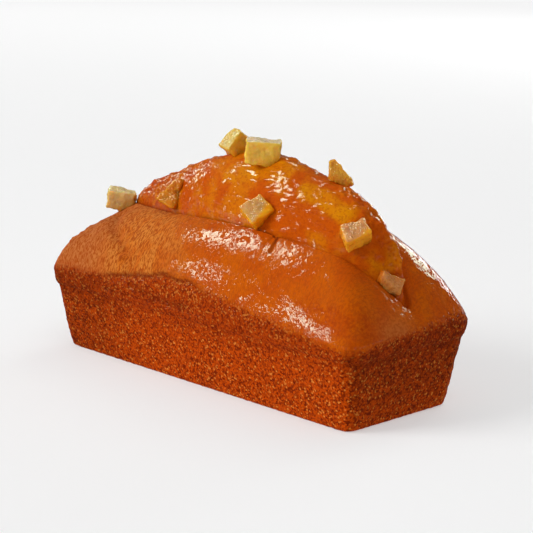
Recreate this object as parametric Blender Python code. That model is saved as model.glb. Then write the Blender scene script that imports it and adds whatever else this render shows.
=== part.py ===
"""Pound cake loaf with a burst, glazed top and diced candied peel.

The loaf was baked in a slim tin with flared walls. Its crust rose over the
tin's rim, folded inwards as two smooth flaps and burst open along the middle,
and the crumb rose through that opening as a ridge. Pieces of candied peel lie
on the glaze.

The frame has its origin in the middle of the flat underside, +X along the
loaf and +Z up. The named sizes are in millimetres.
"""

import math
import random
from typing import NamedTuple

import bmesh
import bpy
import numpy as np
from mathutils import Matrix, Vector, noise

MM = 0.001

# Tin-baked lower part
FLOOR_LENGTH = 168.8
FLOOR_WIDTH = 57.3
FLOOR_EDGE_RADIUS = 2.0
WALL_FLARE = 0.168
CORNER_RADIUS_FLOOR = 4.0
CORNER_RADIUS_RIM = 6.0
TIN_RIM_HEIGHT = 28.5
RIM_LEDGE = 0.95
RIM_LEDGE_RISE = 0.4
WIDEST_HEIGHT = 35.0

# The wall rises higher where the crust folded over late
LATE_FOLD_RISE = 5.0
LATE_FOLD_AT_X = -12.0
LATE_FOLD_SPREAD = 26.0

# Opening between the two flaps, a closed loop seen from above: it starts at
# the +X tip, runs back along the +Y flap and returns along the -Y flap
OPENING_EDGE = (
    (87.0, 2.5, 41.0),
    (80.6, 4.2, 52.0),
    (73.8, 6.0, 63.0),
    (61.0, 10.0, 70.5),
    (42.0, 16.5, 71.5),
    (10.0, 19.5, 70.5),
    (-28.0, 16.5, 67.0),
    (-54.0, 8.5, 64.5),
    (-67.5, -3.0, 62.8),
    (-61.0, -8.0, 63.7),
    (-32.4, -14.5, 64.8),
    (9.0, -19.0, 66.9),
    (42.9, -19.0, 65.3),
    (62.6, -17.5, 63.2),
    (74.5, -13.5, 58.4),
    (82.9, -3.5, 48.5),
)

# How far the flaps bulge, from 0, straight, to 1, a quarter ellipse
FULLNESS_LEFT = 0.65
FULLNESS_RIGHT = 0.34

# Crevice between the flaps' torn edge and the crumb: a narrow crack that turns
# into a wide and shallow valley towards +X
CREVICE_DEEP = 2.4
CREVICE_SHALLOW = 0.9
CREVICE_NARROW = 0.9
CREVICE_WIDE = 3.0
CREVICE_WIDENS_FROM_X = 30.0
CREVICE_WIDENS_OVER = 40.0
TORN_LIP_ACROSS = 0.3
TORN_LIP_DROP = 0.3
CREVICE_FLOOR_ACROSS = 0.65
CRUMB_START_DROP = 0.6

# Crest of the burst crumb, from its +X end to its -X end
CREST = (
    (79.5, 1.5, 63.0),
    (75.3, 1.2, 70.0),
    (68.0, 1.0, 76.8),
    (60.0, 0.5, 82.2),
    (44.0, 0.0, 85.6),
    (29.0, 0.0, 90.4),
    (15.0, 0.0, 92.6),
    (-6.0, 0.0, 90.9),
    (-30.0, -0.5, 84.7),
    (-43.0, -1.0, 78.6),
    (-53.0, -1.5, 74.8),
    (-61.0, -2.2, 69.2),
)
CRUMB_FULLNESS_MIDDLE = 0.66
CRUMB_FULLNESS_ENDS = 0.85
CREST_HALF_WIDTH = 0.09

# Splits that run down both flaps from the opening
SPLIT_AT_X = 34.8
SPLIT_HALF_WIDTH = 1.1
SPLIT_DEPTH = 1.6
SPLIT_STARTS_AT = 0.75

# Mesh density: the wall's rings are given as shares of the rim's height
STATIONS = 108
WALL_RING_SHARES = (0.105, 0.35, 0.6, 0.82, 0.97)
FLAP_TURNS = 9
CRUMB_TURNS = 10
DENSE_SAMPLES = 1440
SMOOTH_BELOW_ANGLE = math.radians(50.0)

# Relief of the crust and the crumb
CRUST_LUMP = 0.45
CRUST_LUMP_SIZE = 19.0
CRUST_LUMP_SEED = 3.0
CRUMB_LUMP = 0.9
CRUMB_LUMP_SIZE = 15.0
CRUMB_LUMP_SEED = 7.0
LUMP_PUSH_RISE = 12.0
LUMPS_STEADY_ABOVE = 0.75
CRUMB_LUMPS_FULL_AT = 0.625

# Candied peel: pieces rest this far clear of the crust, with knife-cut faces
# whose corners are a little uneven and whose edges are slightly soft
SEAT_GAP = 0.3
PEEL_UNEVEN = 0.55
PEEL_EDGE = 0.5
PEEL_EDGE_ANGLE = math.radians(28.0)


class Peel(NamedTuple):
    """One piece of peel: its middle, its size along, across and thick, the
    way its length runs, the way its upper face looks, and how much narrower
    its far end is than its near end."""

    middle: tuple
    size: tuple
    along: tuple
    upper: tuple
    taper: float


PEELS = (
    Peel((-70.5, -9.6, 64.6), (11.5, 10.0, 8.6), (0.64, 0.72, -0.22), (0.16, 0.05, 0.97), 0.8),
    Peel((-32.6, -12.2, 72.8), (13.0, 11.0, 5.0), (0.17, 0.45, 0.88), (0.48, -0.75, 0.45), 0.3),
    Peel((-7.4, 0.5, 94.4), (10.0, 9.5, 9.5), (0.31, 0.55, 0.77), (-0.22, -0.72, 0.64), 0.9),
    Peel((13.0, -5.2, 94.2), (13.5, 9.0, 9.5), (0.70, 0.70, -0.10), (0.10, 0.04, 0.99), 0.9),
    Peel((24.7, -18.6, 73.6), (10.5, 9.5, 6.5), (0.47, 0.67, 0.58), (0.40, -0.77, 0.50), 0.9),
    Peel((45.2, 3.8, 88.2), (12.0, 8.5, 4.5), (-0.38, -0.14, 0.91), (0.63, -0.61, 0.28), 0.35),
    Peel((70.0, -11.4, 70.6), (10.5, 9.5, 7.0), (0.50, 0.62, 0.35), (0.42, -0.50, 0.72), 0.85),
    Peel((80.7, -3.6, 52.2), (10.0, 8.0, 5.0), (0.62, 0.70, -0.30), (0.82, -0.45, 0.30), 0.85),
    Peel((-30.5, 14.6, 76.0), (10.5, 9.0, 6.0), (0.90, 0.10, -0.30), (-0.20, 0.80, 0.60), 0.85),
    Peel((12.0, 18.2, 78.0), (11.0, 8.5, 6.5), (0.60, -0.40, 0.60), (0.05, 0.85, 0.50), 0.5),
    Peel((-4.2, 27.4, 65.0), (9.5, 9.0, 6.0), (0.75, 0.30, -0.50), (-0.10, 0.72, 0.68), 0.9),
)


def closed_spline(points, samples):
    """Return dense points of a smooth closed curve through the given ones."""
    knots = np.array(points, dtype=float)
    count = len(knots)
    steps = np.linspace(0.0, count, samples, endpoint=False)
    return np.array([spline_point(knots, step, True) for step in steps])


def open_spline(points, samples):
    """Return dense points of a smooth open curve through the given ones."""
    knots = np.array(points, dtype=float)
    steps = np.linspace(0.0, len(knots) - 1.0, samples)
    return np.array([spline_point(knots, step, False) for step in steps])


def spline_point(knots, step, closed):
    """Return one point of a Catmull-Rom curve at the knot number given."""
    count = len(knots)
    segment = int(math.floor(step))
    if not closed:
        segment = min(segment, count - 2)
    t = step - segment
    picks = [segment - 1, segment, segment + 1, segment + 2]
    if closed:
        p0, p1, p2, p3 = (knots[pick % count] for pick in picks)
    else:
        p0, p1, p2, p3 = (knots[min(max(pick, 0), count - 1)] for pick in picks)
    return 0.5 * (
        2.0 * p1
        + (p2 - p0) * t
        + (2.0 * p0 - 5.0 * p1 + 4.0 * p2 - p3) * t ** 2
        + (3.0 * p1 - p0 - 3.0 * p2 + p3) * t ** 3
    )


def at_fractions(curve, fractions, closed):
    """Return points of a dense curve at fractions of its length in plan."""
    path = np.vstack([curve, curve[:1]]) if closed else curve
    steps = np.hypot(np.diff(path[:, 0]), np.diff(path[:, 1]))
    run = np.concatenate([[0.0], np.cumsum(steps)])
    run /= run[-1]
    return np.stack([np.interp(fractions, run, path[:, k]) for k in range(3)], axis=1)


def rounded_rectangle(half_x, half_y, radius, height):
    """Return a dense rounded rectangle that starts at the middle of +X."""
    quarter = []
    arc_steps = 40
    straight_steps = 60
    for step in range(straight_steps):
        t = step / straight_steps
        quarter.append((half_x, t * (half_y - radius)))
    for step in range(arc_steps):
        angle = 0.5 * math.pi * step / arc_steps
        quarter.append((
            half_x - radius + radius * math.cos(angle),
            half_y - radius + radius * math.sin(angle),
        ))
    for step in range(straight_steps + 1):
        t = step / straight_steps
        quarter.append(((1.0 - t) * (half_x - radius), half_y))
    back = [(-x, y) for x, y in reversed(quarter[:-1])]
    upper = quarter + back
    lower = [(x, -y) for x, y in reversed(upper[1:-1])]
    outline = upper + lower
    return np.array([(x, y, height) for x, y in outline])


def station_fractions():
    """Return the fractions round the loaf at which every ring has a point."""
    even = np.arange(STATIONS) / STATIONS
    edge = closed_spline(OPENING_EDGE, DENSE_SAMPLES)
    run = at_fractions(edge, np.linspace(0.0, 1.0, DENSE_SAMPLES), True)
    near = run[DENSE_SAMPLES // 2:]
    nearest = DENSE_SAMPLES // 2 + int(np.argmin(np.abs(near[:, 0] - SPLIT_AT_X)))
    middle = nearest / (DENSE_SAMPLES - 1)
    length = np.sum(np.hypot(*np.diff(edge[:, :2], axis=0).T))
    half = SPLIT_HALF_WIDTH / length
    spare = 1.2 * half
    wanted = []
    for fraction in (middle - half, middle, middle + half):
        wanted += [fraction, 1.0 - fraction]
    clear = [f for f in even if min(abs(f - w) for w in wanted) > spare]
    return np.array(sorted(clear + wanted)), (middle, 1.0 - middle)


def wall_ring(height, grow, fractions):
    """Return a ring of the tin-baked wall, grown sideways by a distance."""
    share = height / TIN_RIM_HEIGHT
    radius = CORNER_RADIUS_FLOOR + (CORNER_RADIUS_RIM - CORNER_RADIUS_FLOOR) * share
    half_x = 0.5 * FLOOR_LENGTH + WALL_FLARE * height + grow
    half_y = 0.5 * FLOOR_WIDTH + WALL_FLARE * height + grow
    outline = rounded_rectangle(half_x, half_y, radius + grow, height)
    return at_fractions(outline, fractions, True)


def tin_rings(fractions):
    """Return the rings from the underside to the widest part of the crust."""
    rings = []
    edge_steps = 3
    for step in range(edge_steps):
        angle = 0.5 * math.pi * step / edge_steps
        height = FLOOR_EDGE_RADIUS * (1.0 - math.cos(angle))
        inset = FLOOR_EDGE_RADIUS * (1.0 - math.sin(angle))
        rings.append(wall_ring(height, -inset, fractions))
    for share in WALL_RING_SHARES:
        rings.append(wall_ring(share * TIN_RIM_HEIGHT, 0.0, fractions))
    rings.append(wall_ring(TIN_RIM_HEIGHT + RIM_LEDGE_RISE, RIM_LEDGE, fractions))
    rings.append(wall_ring(0.5 * (TIN_RIM_HEIGHT + WIDEST_HEIGHT), RIM_LEDGE, fractions))
    widest = wall_ring(WIDEST_HEIGHT, RIM_LEDGE, fractions)
    for point in widest:
        point[2] += late_fold(point[0], point[1])
    rings.append(widest)
    return rings


def late_fold(x, y):
    """Return how much higher the wall goes where the crust folded late."""
    side = math.copysign(1.0, y)
    away = (x + side * LATE_FOLD_AT_X) / LATE_FOLD_SPREAD
    middle = min(abs(y) / (0.5 * FLOOR_WIDTH), 1.0)
    return LATE_FOLD_RISE * math.exp(-away * away) * middle


def flap_fullness(ring):
    """Return how far each station of the flaps bulges, fuller towards -X."""
    share = np.clip(ring[:, 0] / (0.5 * FLOOR_LENGTH), 0.0, 1.0)
    return (FULLNESS_LEFT + (FULLNESS_RIGHT - FULLNESS_LEFT) * share)[:, None]


def crumb_fullness(ring):
    """Return how far each station of the crumb bulges, fuller at both tips."""
    right_tip = max(point[0] for point in OPENING_EDGE)
    left_tip = min(point[0] for point in OPENING_EDGE)
    away = np.abs(ring[:, 0] - 0.5 * (right_tip + left_tip))
    share = np.clip(away / (0.5 * (right_tip - left_tip)), 0.0, 1.0) ** 3
    return (CRUMB_FULLNESS_MIDDLE + (CRUMB_FULLNESS_ENDS - CRUMB_FULLNESS_MIDDLE) * share)[:, None]


def loft(lower, upper, shares, fullness):
    """Return rings between two rings, bulging out by a fullness of 0 to 1."""
    rings = []
    for share in shares:
        angle = 0.5 * math.pi * share
        across = (1.0 - fullness) * share + fullness * (1.0 - math.cos(angle))
        rise = (1.0 - fullness) * share + fullness * math.sin(angle)
        ring = lower.copy()
        ring[:, :2] += (upper - lower)[:, :2] * across
        ring[:, 2:] += (upper - lower)[:, 2:] * rise
        rings.append(ring)
    return rings


def crest_ring(fractions):
    """Return for every station the point of the crest that it leans to."""
    crest = open_spline(CREST, DENSE_SAMPLES)
    along = np.where(fractions <= 0.5, 2.0 * fractions, 2.0 - 2.0 * fractions)
    return at_fractions(crest, along, False)


def valley_share(x):
    """Return how far the crack has turned into a valley at places along X."""
    return np.clip((x - CREVICE_WIDENS_FROM_X) / CREVICE_WIDENS_OVER, 0.0, 1.0)


def inward(ring, crest, distance):
    """Return a ring moved towards the crest in plan, by a share of the crevice."""
    moved = ring.copy()
    for point, goal in zip(moved, crest):
        reach = goal[:2] - point[:2]
        length = float(np.hypot(*reach))
        width = CREVICE_NARROW + (CREVICE_WIDE - CREVICE_NARROW) * valley_share(point[0])
        shift = distance * width
        point[:2] += reach / length * min(shift, 0.5 * length)
    return moved


def lump(point, size, seed):
    """Return a smooth random height from -1 to 1 at a place on the loaf."""
    place = Vector((point[0] / size, point[1] / size, point[2] / size))
    return noise.noise(place + Vector((seed, 2.0 * seed, 3.0 * seed)))


def with_relief(ring, crest, height, size, seed, fade):
    """Return a ring whose points are pushed in and out by random lumps."""
    moved = ring.copy()
    for point, goal in zip(moved, crest):
        out = Vector((point[0] - goal[0], point[1] - goal[1], LUMP_PUSH_RISE)).normalized()
        push = height * fade * lump(point, size, seed)
        point += np.array(out) * push
    return moved


def cut_split(ring, crest, columns, depth):
    """Pull the points of the two splits inwards, to make narrow grooves."""
    for column in columns:
        reach = crest[column] - ring[column]
        reach[2] = -abs(reach[2])
        ring[column] += reach / np.linalg.norm(reach) * depth


def loaf_rings():
    """Return all rings of the loaf, from the underside up to the crest."""
    fractions, splits = station_fractions()
    columns = [int(np.argmin(np.abs(fractions - split))) for split in splits]
    edge_curve = closed_spline(OPENING_EDGE, DENSE_SAMPLES)
    opening = at_fractions(edge_curve, fractions, True)
    crest = crest_ring(fractions)

    rings = tin_rings(fractions)
    shares = [(turn + 1) / FLAP_TURNS for turn in range(FLAP_TURNS)]
    flaps = loft(rings[-1], opening, shares, flap_fullness(rings[-1]))
    for share, ring in zip(shares, flaps):
        fade = math.sin(math.pi * min(share, LUMPS_STEADY_ABOVE))
        rough = with_relief(ring, crest, CRUST_LUMP, CRUST_LUMP_SIZE, CRUST_LUMP_SEED, fade)
        edge = rough.copy()
        opened = max(0.0, (share - SPLIT_STARTS_AT) / (1.0 - SPLIT_STARTS_AT))
        cut_split(rough, crest, columns, SPLIT_DEPTH * opened)
        rings.append(rough)

    lip = inward(edge, crest, TORN_LIP_ACROSS)
    lip[:, 2] -= TORN_LIP_DROP
    cut_split(lip, crest, columns, SPLIT_DEPTH)
    floor = inward(edge, crest, CREVICE_FLOOR_ACROSS)
    floor[:, 2] -= CREVICE_DEEP + (CREVICE_SHALLOW - CREVICE_DEEP) * valley_share(edge[:, 0])
    start = inward(edge, crest, 1.0)
    start[:, 2] -= CRUMB_START_DROP
    rings += [lip, floor, start]

    shares = [(turn + 1) / CRUMB_TURNS for turn in range(CRUMB_TURNS)]
    goal = start + (crest - start) * np.array([1.0 - CREST_HALF_WIDTH] * 2 + [1.0])
    crumb = loft(start, goal, shares, crumb_fullness(start))
    for share, ring in zip(shares, crumb):
        fade = math.sin(0.5 * math.pi * min(share / CRUMB_LUMPS_FULL_AT, 1.0))
        rings.append(with_relief(ring, crest, CRUMB_LUMP, CRUMB_LUMP_SIZE, CRUMB_LUMP_SEED, fade))
    return rings


def ring_mesh(name, rings):
    """Return a closed mesh skinned over rings of equal point counts."""
    form = bmesh.new()
    rows = [[form.verts.new(Vector(point) * MM) for point in ring] for ring in rings]
    count = len(rows[0])
    form.faces.new(list(reversed(rows[0])))
    for below, above in zip(rows, rows[1:]):
        for i in range(count):
            j = (i + 1) % count
            form.faces.new((below[i], below[j], above[j], above[i]))
    top = rows[-1]
    half = count // 2
    form.faces.new((top[0], top[1], top[count - 1]))
    for i in range(1, half - 1):
        form.faces.new((top[i], top[i + 1], top[count - i - 1], top[count - i]))
    form.faces.new((top[half - 1], top[half], top[half + 1]))
    bmesh.ops.recalc_face_normals(form, faces=form.faces)
    mesh = bpy.data.meshes.new(name)
    form.to_mesh(mesh)
    form.free()
    mesh.shade_smooth()
    mesh.set_sharp_from_angle(angle=SMOOTH_BELOW_ANGLE)
    return mesh


def peel_frame(peel):
    """Return the placing matrix of a piece of peel, in metres."""
    upper = Vector(peel.upper).normalized()
    along = Vector(peel.along)
    along = (along - upper * along.dot(upper)).normalized()
    across = upper.cross(along)
    frame = Matrix((along, across, upper)).transposed().to_4x4()
    frame.translation = Vector(peel.middle) * MM
    return frame


def peel_mesh(name, peel, seed):
    """Return the mesh of one knife-cut piece of peel about its own middle."""
    draw = random.Random(seed)
    form = bmesh.new()
    bmesh.ops.create_cube(form, size=1.0)
    for vert in form.verts:
        narrow = peel.taper if vert.co.x > 0.0 else 1.0
        vert.co.x *= peel.size[0]
        vert.co.y *= peel.size[1] * narrow
        vert.co.z *= peel.size[2] * (0.5 + 0.5 * narrow)
        for axis in range(3):
            vert.co[axis] += draw.uniform(-PEEL_UNEVEN, PEEL_UNEVEN)
        vert.co *= MM
    bmesh.ops.triangulate(form, faces=form.faces)
    bmesh.ops.bevel(
        form,
        geom=[edge for edge in form.edges if edge.calc_face_angle() > PEEL_EDGE_ANGLE],
        offset=PEEL_EDGE * MM,
        segments=1,
        affect="EDGES",
    )
    mesh = bpy.data.meshes.new(name)
    form.to_mesh(mesh)
    form.free()
    return mesh


def clearance_of(loaf):
    """Return a cutter that is the loaf grown by the gap that peel keeps."""
    cutter = loaf.copy()
    cutter.data = loaf.data.copy()
    cutter.name = "loaf_clearance"
    normals = [vert.normal.copy() for vert in cutter.data.vertices]
    for vert, normal in zip(cutter.data.vertices, normals):
        vert.co += normal * SEAT_GAP * MM
    cutter.hide_render = True
    cutter.display_type = "WIRE"
    bpy.context.scene.collection.objects.link(cutter)
    return cutter


def surface(name, colour, roughness):
    """Return a Principled material of one colour and roughness."""
    material = bpy.data.materials.new(name)
    material.use_nodes = True
    shader = material.node_tree.nodes["Principled BSDF"]
    shader.inputs["Base Color"].default_value = (*colour, 1.0)
    shader.inputs["Roughness"].default_value = roughness
    shader.inputs["Metallic"].default_value = 0.0
    return material


def add_object(name, mesh, material):
    """Link an object with the mesh and material to the scene."""
    thing = bpy.data.objects.new(name, mesh)
    thing.data.materials.append(material)
    bpy.context.scene.collection.objects.link(thing)
    return thing


def main():
    """Model the loaf and every piece of candied peel that lies on it."""
    for thing in list(bpy.data.objects):
        bpy.data.objects.remove(thing, do_unlink=True)
    crust = surface("baked_crust", (0.42, 0.13, 0.02), 0.35)
    loaf = add_object("loaf", ring_mesh("loaf", loaf_rings()), crust)
    cutter = clearance_of(loaf)
    candied = surface("candied_peel", (0.62, 0.42, 0.08), 0.3)
    for number, peel in enumerate(PEELS, start=1):
        name = f"candied_peel_{number:02d}"
        piece = add_object(name, peel_mesh(name, peel, number), candied)
        piece.matrix_world = peel_frame(peel)
        trim = piece.modifiers.new("trim_to_crust", "BOOLEAN")
        trim.operation = "DIFFERENCE"
        trim.solver = "EXACT"
        trim.use_self = True
        trim.object = cutter


main()
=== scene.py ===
"""Looks of a glazed pound cake loaf strewn with diced candied peel.

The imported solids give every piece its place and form. The loaf is refined into
a fine skin, carved with the creases, pores and crags of a real crust, and
painted by region: granular tin-baked walls, smooth folded flaps that are wet
with syrup, and the glossy crumb that burst through them. Lengths in the classes
are in millimetres, because that suits a cake; meshes are in metres.
"""

from __future__ import annotations

import logging
import math
from collections.abc import Iterable
from dataclasses import dataclass, field
from enum import Enum

import bpy
import numpy as np
from mathutils import Matrix, Vector, noise
from mathutils.bvhtree import BVHTree

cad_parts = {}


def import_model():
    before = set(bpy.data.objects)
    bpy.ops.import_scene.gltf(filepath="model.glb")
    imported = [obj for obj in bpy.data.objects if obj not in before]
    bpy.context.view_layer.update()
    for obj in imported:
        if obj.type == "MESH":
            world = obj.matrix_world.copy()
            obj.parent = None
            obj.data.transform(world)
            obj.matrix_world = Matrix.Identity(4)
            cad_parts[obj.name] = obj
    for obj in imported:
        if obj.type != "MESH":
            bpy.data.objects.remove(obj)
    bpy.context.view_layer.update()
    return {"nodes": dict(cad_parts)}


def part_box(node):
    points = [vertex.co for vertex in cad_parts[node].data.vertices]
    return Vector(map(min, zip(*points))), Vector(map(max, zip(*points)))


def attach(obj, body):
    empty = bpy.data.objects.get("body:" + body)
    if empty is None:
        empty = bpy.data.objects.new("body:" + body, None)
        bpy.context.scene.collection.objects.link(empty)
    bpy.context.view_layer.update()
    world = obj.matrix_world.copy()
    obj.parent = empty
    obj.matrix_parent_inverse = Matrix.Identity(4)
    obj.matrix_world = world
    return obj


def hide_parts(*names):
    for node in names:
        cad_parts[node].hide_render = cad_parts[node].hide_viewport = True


LOG = logging.getLogger("pound_cake")
MM = 0.001
MERGE_DISTANCE = 0.01
QUAD_ANGLE = 0.7
QUAD_SHAPE = 1.2
SMOOTH_FACTOR = 0.5
# The colour sockets of the mix node, which share their names with its number sockets.
MIX_UNDER, MIX_OVER, MIX_RESULT = 6, 7, 2

Colour = tuple[float, float, float]
Point = tuple[float, float, float]
Line = tuple[Point, ...]
Span = tuple[float, float]


class Region(Enum):
    """The kinds of surface on the loaf, each painted as a mask of its own."""

    GRAINY = "grainy"
    CRUMB = "crumb"
    WET = "wet"
    MATTE = "matte"
    SHADE = "shade"
    WRINKLED = "wrinkled"
    DRAWN = "drawn"
    # The amber crumb, and a painted lighter patch at the crumb's right end.
    AMBER = "amber"
    # Darker crust on the crumb and flaps, and painted shade on the walls towards both ends.
    DEEP = "deep"
    # A greyer tone: a painted sheen on the left end, and a duller patch at the far corner.
    DULL = "dull"


class Wire:
    """A value inside a material that plain arithmetic can be written on."""

    def __init__(self, recipe: Recipe, socket: bpy.types.NodeSocket) -> None:
        """Hold one output socket of a recipe's node tree."""
        self.recipe = recipe
        self.socket = socket

    def maths(self, operation: str, *values: Wire | float) -> Wire:
        """Return the result of one Math node.

        Args:
            operation: The node's operation, such as MULTIPLY.
            values: The numbers or wires that go in, in socket order.

        Returns:
            The node's output.
        """
        made = self.recipe.node("ShaderNodeMath", {"operation": operation}, dict(enumerate(values)))
        return Wire(self.recipe, made.outputs[0])

    def __add__(self, other: Wire | float) -> Wire:
        """Return self + other."""
        return self.maths("ADD", self, other)

    def __radd__(self, other: float) -> Wire:
        """Return other + self."""
        return self.maths("ADD", other, self)

    def __sub__(self, other: Wire | float) -> Wire:
        """Return self - other."""
        return self.maths("SUBTRACT", self, other)

    def __rsub__(self, other: float) -> Wire:
        """Return other - self."""
        return self.maths("SUBTRACT", other, self)

    def __mul__(self, other: Wire | float) -> Wire:
        """Return self * other."""
        return self.maths("MULTIPLY", self, other)

    def __rmul__(self, other: float) -> Wire:
        """Return other * self."""
        return self.maths("MULTIPLY", other, self)

    def step(self, low: float, high: float) -> Wire:
        """Return a smooth 0 to 1 as the value goes from low to high.

        Args:
            low: The value at which the result is 0.
            high: The value at which the result is 1.

        Returns:
            The smooth step.
        """
        made = self.recipe.node(
            "ShaderNodeMapRange",
            {"interpolation_type": "SMOOTHSTEP"},
            {"Value": self, "From Min": low, "From Max": high},
        )
        return Wire(self.recipe, made.outputs[0])


class Recipe:
    """A material under construction: it adds nodes and links them."""

    def __init__(self, name: str) -> None:
        """Start an empty node material.

        Args:
            name: The material's name.
        """
        self.material = bpy.data.materials.new(name)
        self.material.use_nodes = True
        self.tree = self.material.node_tree
        self.tree.nodes.clear()

    def node(
        self,
        kind: str,
        settings: dict[str, object] | None = None,
        values: dict[str | int, object] | None = None,
    ) -> bpy.types.Node:
        """Add one node, set it up and feed its sockets.

        Args:
            kind: The node's type name.
            settings: Its properties, set before its sockets are fed.
            values: Socket names or numbers, with a number, a tuple or a wire for each.

        Returns:
            The new node.
        """
        made = self.tree.nodes.new(kind)
        for key, value in (settings or {}).items():
            setattr(made, key, value)
        for key, value in (values or {}).items():
            socket = made.inputs[key]
            if isinstance(value, Wire):
                self.tree.links.new(value.socket, socket)
            elif isinstance(value, tuple) and len(value) == 3 and socket.type == "RGBA":
                socket.default_value = (*value, 1.0)
            else:
                socket.default_value = value
        return made

    def attribute(self, name: str) -> Wire:
        """Return a painted number of the mesh."""
        return Wire(self, self.node("ShaderNodeAttribute", {"attribute_name": name}).outputs["Fac"])

    def painted_colour(self, name: str) -> Wire:
        """Return a painted colour of the mesh."""
        return Wire(self, self.node("ShaderNodeAttribute", {"attribute_name": name}).outputs["Color"])

    def place(self, stretch: Point = (1.0, 1.0, 1.0), turn: Point = (0.0, 0.0, 0.0)) -> Wire:
        """Return the place on the object, in millimetres.

        Args:
            stretch: How much finer a pattern gets along each axis.
            turn: How the pattern is turned about each axis, in degrees.

        Returns:
            The mapped object coordinates.
        """
        coordinates = self.node("ShaderNodeTexCoord")
        made = self.node(
            "ShaderNodeMapping",
            {},
            {
                "Vector": Wire(self, coordinates.outputs["Object"]),
                "Scale": tuple(1.0 / MM * share for share in stretch),
                "Rotation": tuple(math.radians(angle) for angle in turn),
            },
        )
        return Wire(self, made.outputs[0])

    def height(self) -> Wire:
        """Return the height above the underside, in millimetres."""
        made = self.node("ShaderNodeSeparateXYZ", {}, {0: self.place()})
        return Wire(self, made.outputs["Z"])

    def lumps(self, place: Wire, size: float, detail: float = 2.0, swirl: float = 0.0) -> Wire:
        """Return soft random lumps, from 0 to 1.

        Args:
            place: Where the pattern is read.
            size: The size of a lump, in millimetres.
            detail: How many finer layers are added.
            swirl: How much the lumps are curled.

        Returns:
            The noise.
        """
        values = {"Vector": place, "Scale": 1.0 / size, "Detail": detail, "Distortion": swirl}
        return Wire(self, self.node("ShaderNodeTexNoise", {}, values).outputs[0])

    def grains(self, place: Wire, size: float) -> tuple[Wire, Wire, Wire]:
        """Return rounded grains and two random numbers for each of them.

        Args:
            place: Where the pattern is read.
            size: The size of a grain, in millimetres.

        Returns:
            The distance from each grain's middle, and the grain's own two numbers.
        """
        made = self.node("ShaderNodeTexVoronoi", {}, {"Vector": place, "Scale": 1.0 / size})
        split = self.node("ShaderNodeSeparateColor", {}, {0: Wire(self, made.outputs["Color"])})
        number, chance = (Wire(self, split.outputs[place]) for place in (0, 1))
        return Wire(self, made.outputs["Distance"]), number, chance

    def blend(self, share: Wire | float, under: Wire | Colour, over: Wire | Colour) -> Wire:
        """Return one colour laid over another.

        Args:
            share: How much of the upper colour shows.
            under: The colour below.
            over: The colour on top.

        Returns:
            The mixed colour.
        """
        values = {0: share, MIX_UNDER: under, MIX_OVER: over}
        made = self.node("ShaderNodeMix", {"data_type": "RGBA"}, values)
        return Wire(self, made.outputs[MIX_RESULT])

    def darken(self, colour: Wire | Colour, share: Wire) -> Wire:
        """Return a colour scaled by a number from 0 to 1."""
        made = self.node("ShaderNodeVectorMath", {"operation": "SCALE"}, {0: colour, "Scale": share})
        return Wire(self, made.outputs[0])

    def relief(self, height: Wire) -> Wire:
        """Return the surface normal of a fine relief whose height is in millimetres."""
        made = self.node("ShaderNodeBump", {}, {"Strength": 1.0, "Distance": MM, "Height": height})
        return Wire(self, made.outputs[0])

    def surface(self, values: dict[str | int, object]) -> Wire:
        """Return a Principled shader with its sockets fed."""
        return Wire(self, self.node("ShaderNodeBsdfPrincipled", {}, values).outputs[0])

    def finish(self, surface: Wire) -> bpy.types.Material:
        """Close the recipe with its surface shader.

        Args:
            surface: The shader that dresses the piece.

        Returns:
            The finished material.
        """
        self.node("ShaderNodeOutputMaterial", {}, {"Surface": surface})
        return self.material


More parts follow.
